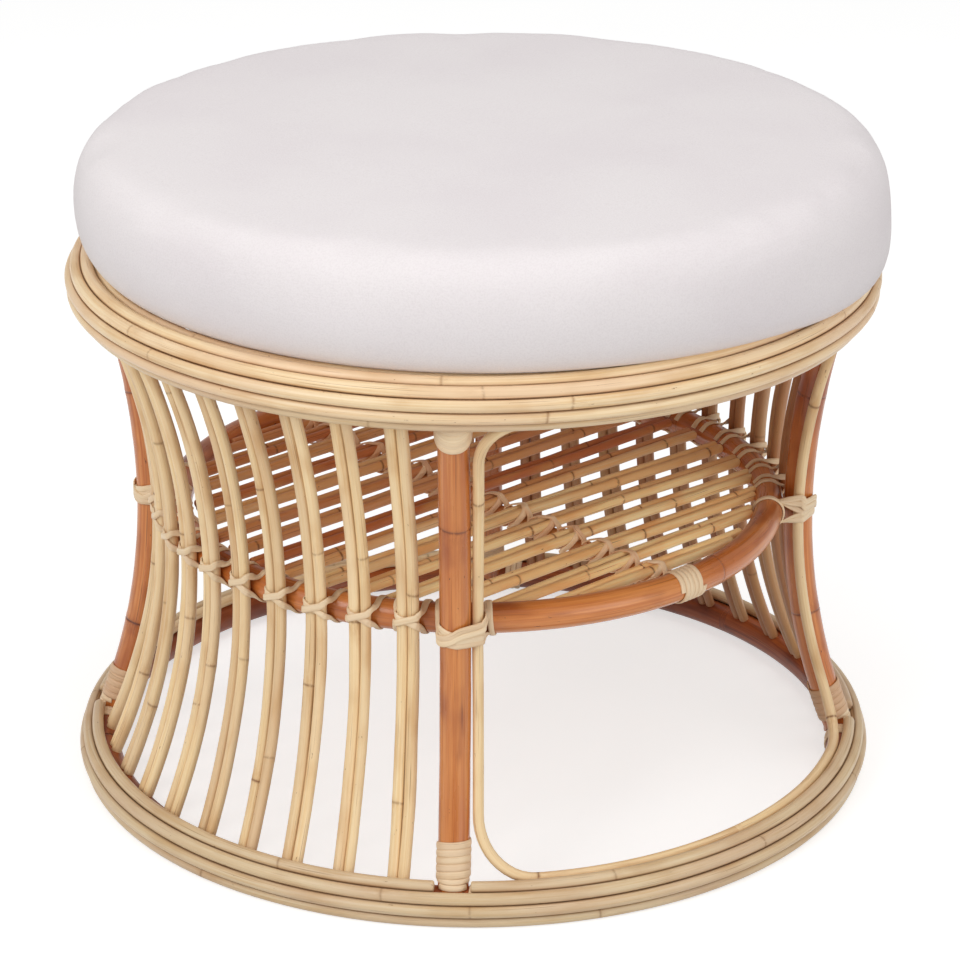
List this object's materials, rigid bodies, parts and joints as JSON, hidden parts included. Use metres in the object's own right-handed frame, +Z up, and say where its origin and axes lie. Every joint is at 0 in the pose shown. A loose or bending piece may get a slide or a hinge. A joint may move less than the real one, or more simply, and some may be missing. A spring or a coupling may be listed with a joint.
{
  "type": "rattan stool",
  "caption": "Round waisted stool of bent poles and cane with spindle panels, open front and back, a slatted shelf at its waist and a loose round cushion.",
  "frame": {"origin": "middle of the footprint on the floor", "axes": "+Z up; the open sides face -Y and +Y, the spindle panels -X and +X"},
  "size_m": [0.528, 0.528, 0.4271],
  "materials": {
    "pole": "gloss",
    "pale_cane": "satin",
    "slat_cane": "satin",
    "binding": "matte",
    "cover": "matte",
    "filling": "matte"
  },
  "bodies": {
    "frame": {"top_core_hoop": "pole", "base_core_hoop": "pole", "shelf_hoop": "pole", "top_ring_cane_1": "pale_cane", "top_ring_cane_2": "pale_cane", "top_ring_cane_3": "pale_cane", "top_ring_cane_4": "pale_cane", "top_ring_cane_5": "pale_cane", "base_ring_cane_2": "pale_cane", "base_ring_cane_3": "pale_cane", "base_ring_cane_4": "pale_cane", "base_ring_cane_1_back": "pale_cane", "base_ring_cane_1_left": "pale_cane", "base_ring_cane_1_front": "pale_cane", "base_ring_cane_1_right": "pale_cane", "post_right_back": "pole", "post_left_back": "pole", "post_left_front": "pole", "post_right_front": "pole", "spindle_pair_left_1": "pale_cane", "spindle_pair_left_2": "pale_cane", "spindle_pair_left_3": "pale_cane", "spindle_pair_left_4": "pale_cane", "spindle_pair_left_5": "pale_cane", "spindle_pair_left_6": "pale_cane", "spindle_pair_left_7": "pale_cane", "spindle_pair_left_8": "pale_cane", "spindle_pair_left_9": "pale_cane", "spindle_pair_left_10": "pale_cane", "spindle_pair_right_1": "pale_cane", "spindle_pair_right_2": "pale_cane", "spindle_pair_right_3": "pale_cane", "spindle_pair_right_4": "pale_cane", "spindle_pair_right_5": "pale_cane", "spindle_pair_right_6": "pale_cane", "spindle_pair_right_7": "pale_cane", "spindle_pair_right_8": "pale_cane", "spindle_pair_right_9": "pale_cane", "spindle_pair_right_10": "pale_cane", "arch_front": "pale_cane", "arch_back": "pale_cane", "shelf_slats": "slat_cane", "seat_slats": "slat_cane", "shelf_lashing": "binding", "panel_lacing_left": "binding", "panel_lacing_right": "binding", "waist_binding_right_back": "binding", "waist_binding_left_back": "binding", "waist_binding_left_front": "binding", "waist_binding_right_front": "binding", "foot_binding_right_back": "binding", "foot_binding_left_back": "binding", "foot_binding_left_front": "binding", "foot_binding_right_front": "binding", "head_binding_right_back": "binding", "head_binding_left_back": "binding", "head_binding_left_front": "binding", "head_binding_right_front": "binding"},
    "cushion": {"cushion_cover": "cover", "cushion_foam": "filling"}
  },
  "joints": [
    {"name": "cushion_lift", "type": "slide", "parent": "frame", "child": "cushion", "axis": [0, 0, 1], "range_m": [0, 0.15]}
  ]
}
